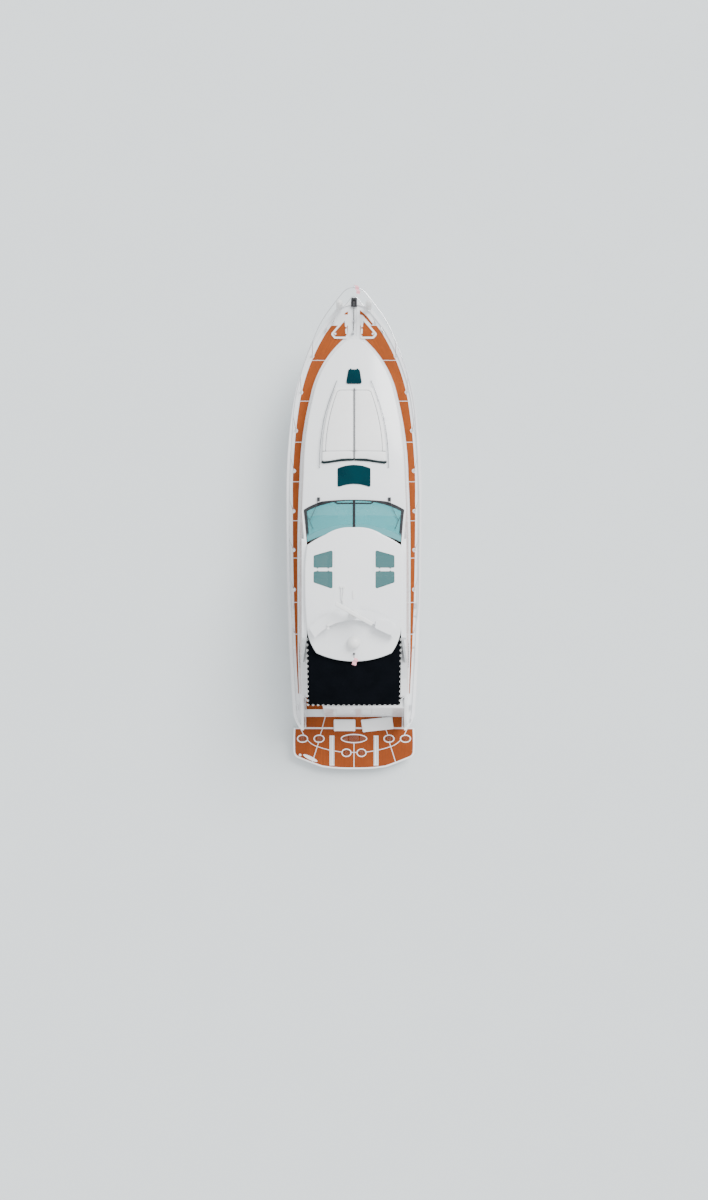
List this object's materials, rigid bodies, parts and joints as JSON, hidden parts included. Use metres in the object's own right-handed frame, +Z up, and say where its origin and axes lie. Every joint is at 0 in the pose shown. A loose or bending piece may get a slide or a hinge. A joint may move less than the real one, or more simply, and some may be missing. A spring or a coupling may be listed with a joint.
{
  "type": "hardtop motor yacht",
  "caption": "Hardtop motor yacht afloat, with teak side decks, foredeck sunpads, open-backed helm deck, awning and a lowering swim platform.",
  "frame": {"origin": "amidships on the centreline at the waterline", "axes": "+X towards the bow, +Y to port, +Z up"},
  "size_m": [15.9779, 4.5644, 5.8894],
  "materials": {
    "gelcoat_hull": "gloss",
    "gelcoat_deck": "gloss",
    "rub_rail": "satin",
    "teak": "matt",
    "tinted_glass": "gloss",
    "white_vinyl": "matt",
    "black_frame": "gloss",
    "clear_glass": "gloss",
    "dark_glass": "gloss",
    "white_casing": "gloss",
    "black_canvas": "matt",
    "polished_steel": "polished",
    "fender_vinyl": "satin",
    "engine_paint": "satin",
    "bronze": "satin",
    "wheel_leather": "satin",
    "dash_vinyl": "matt",
    "cream_leather": "satin",
    "joinery": "satin"
  },
  "bodies": {
    "yacht": {"aft_seat": "cream_leather", "anchor_roller": "black_frame", "awning": "black_canvas", "awning_frame": "polished_steel", "cabin_berth": "white_vinyl", "cabin_sides": "gelcoat_deck", "coachroof": "gelcoat_deck", "cockpit_sole": "teak", "deck": "gelcoat_deck", "deck_fittings": "polished_steel", "deck_skylight": "tinted_glass", "engines": "engine_paint", "ensign_staff": "black_frame", "fenders": "fender_vinyl", "grab_rails": "polished_steel", "guard_rails": "polished_steel", "hardtop": "gelcoat_deck", "hatch_rim": "black_frame", "helm_console": "dash_vinyl", "helm_seat": "cream_leather", "hull": "gelcoat_hull", "platform_cushions": "white_vinyl", "radar_pedestal": "white_casing", "radar_wing": "gelcoat_deck", "roof_fittings": "white_casing", "rub_rail": "rub_rail", "saloon_table": "joinery", "satellite_dome": "white_casing", "settee": "cream_leather", "shaft_brackets": "bronze", "side_glass": "dark_glass", "sunpad_port": "white_vinyl", "sunpad_starboard": "white_vinyl", "teak_decking": "teak", "transom_moulding": "gelcoat_deck", "wet_bar": "joinery", "windlass": "polished_steel", "windscreen_frame": "black_frame", "windscreen_glass": "clear_glass", "wipers": "black_frame"},
    "steering_wheel": {"steering_wheel": "wheel_leather"},
    "radar_array": {"radar_array": "white_casing"},
    "foredeck_hatch": {"foredeck_hatch": "tinted_glass"},
    "transom_door": {"transom_door": "gelcoat_deck"},
    "lift_arms": {"lift_arms": "polished_steel"},
    "swim_platform": {"swim_platform": "gelcoat_deck", "platform_teak": "teak"},
    "roof_hatch_front_port": {"roof_hatch_front_port": "tinted_glass"},
    "roof_hatch_aft_port": {"roof_hatch_aft_port": "tinted_glass"},
    "bow_locker_lid_port": {"bow_locker_lid_port": "teak"},
    "propeller_port": {"propeller_port": "bronze"},
    "rudder_port": {"rudder_port": "bronze"},
    "roof_hatch_front_starboard": {"roof_hatch_front_starboard": "tinted_glass"},
    "roof_hatch_aft_starboard": {"roof_hatch_aft_starboard": "tinted_glass"},
    "bow_locker_lid_starboard": {"bow_locker_lid_starboard": "teak"},
    "propeller_starboard": {"propeller_starboard": "bronze"},
    "rudder_starboard": {"rudder_starboard": "bronze"}
  },
  "joints": [
    {"name": "wheel_turn", "type": "hinge", "parent": "yacht", "child": "steering_wheel", "pos_m": [-0.18, -0.95, 2.01], "axis": [-0.8829, 0, 0.4695], "range_deg": [-720, 720]},
    {"name": "rudder_port_turn", "type": "hinge", "parent": "yacht", "child": "rudder_port", "pos_m": [-6.08, 0.83, -0.75], "axis": [0, 0, 1], "range_deg": [-35, 35]},
    {"name": "propeller_port_spin", "type": "hinge", "parent": "yacht", "child": "propeller_port", "pos_m": [-5.45, 0.8, -0.89], "axis": [0.9903, 0, 0.1392], "continuous": true},
    {"name": "locker_port_lid", "type": "hinge", "parent": "yacht", "child": "bow_locker_lid_port", "pos_m": [6.78, 0.252, 2.1706], "axis": [0.9954, 0, 0.0954], "range_deg": [0, 85]},
    {"name": "roof_hatch_front_port_tilt", "type": "hinge", "parent": "yacht", "child": "roof_hatch_front_port", "pos_m": [-1.109, 0.965, 3.93423], "axis": [0, -0.9919, 0.127], "range_deg": [0, 55]},
    {"name": "roof_hatch_aft_port_tilt", "type": "hinge", "parent": "yacht", "child": "roof_hatch_aft_port", "pos_m": [-1.191, 0.965, 3.93835], "axis": [0, 0.9919, -0.127], "range_deg": [0, 55]},
    {"name": "rudder_starboard_turn", "type": "hinge", "parent": "yacht", "child": "rudder_starboard", "pos_m": [-6.08, -0.83, -0.75], "axis": [0, 0, 1], "range_deg": [-35, 35]},
    {"name": "propeller_starboard_spin", "type": "hinge", "parent": "yacht", "child": "propeller_starboard", "pos_m": [-5.45, -0.8, -0.89], "axis": [0.9903, 0, 0.1392], "continuous": true},
    {"name": "locker_starboard_lid", "type": "hinge", "parent": "yacht", "child": "bow_locker_lid_starboard", "pos_m": [6.78, -0.252, 2.1706], "axis": [-0.9954, 0, -0.0954], "range_deg": [0, 85]},
    {"name": "roof_hatch_front_starboard_tilt", "type": "hinge", "parent": "yacht", "child": "roof_hatch_front_starboard", "pos_m": [-1.109, -0.965, 3.93423], "axis": [0, -0.9919, -0.127], "range_deg": [0, 55]},
    {"name": "roof_hatch_aft_starboard_tilt", "type": "hinge", "parent": "yacht", "child": "roof_hatch_aft_starboard", "pos_m": [-1.191, -0.965, 3.93835], "axis": [0, 0.9919, 0.127], "range_deg": [0, 55]},
    {"name": "radar_spin", "type": "hinge", "parent": "yacht", "child": "radar_array", "pos_m": [-2.525, 0, 4.6], "axis": [0, 0, 1], "continuous": true},
    {"name": "foredeck_hatch_tilt", "type": "hinge", "parent": "yacht", "child": "foredeck_hatch", "pos_m": [5.469, 0, 2.43442], "axis": [0, 1, 0], "range_deg": [0, 80]},
    {"name": "transom_door_lift", "type": "hinge", "parent": "yacht", "child": "transom_door", "pos_m": [-5.76593, 0, 1.79707], "axis": [0, 1, 0], "range_deg": [0, 75]},
    {"name": "platform_lower", "type": "hinge", "parent": "yacht", "child": "lift_arms", "pos_m": [-6.635, 0, -0.3253], "axis": [0, -1, 0], "range_deg": [0, 48]},
    {"name": "platform_level", "type": "hinge", "parent": "lift_arms", "child": "swim_platform", "pos_m": [-7.22952, 0, 0.21], "axis": [0, 1, 0], "range_deg": [0, 48]}
  ],
  "couplings": [
    {"joint": "rudder_port_turn", "follows": "wheel_turn", "ratio": 0.048611},
    {"joint": "rudder_starboard_turn", "follows": "wheel_turn", "ratio": 0.048611},
    {"joint": "platform_level", "follows": "platform_lower", "ratio": 1}
  ]
}
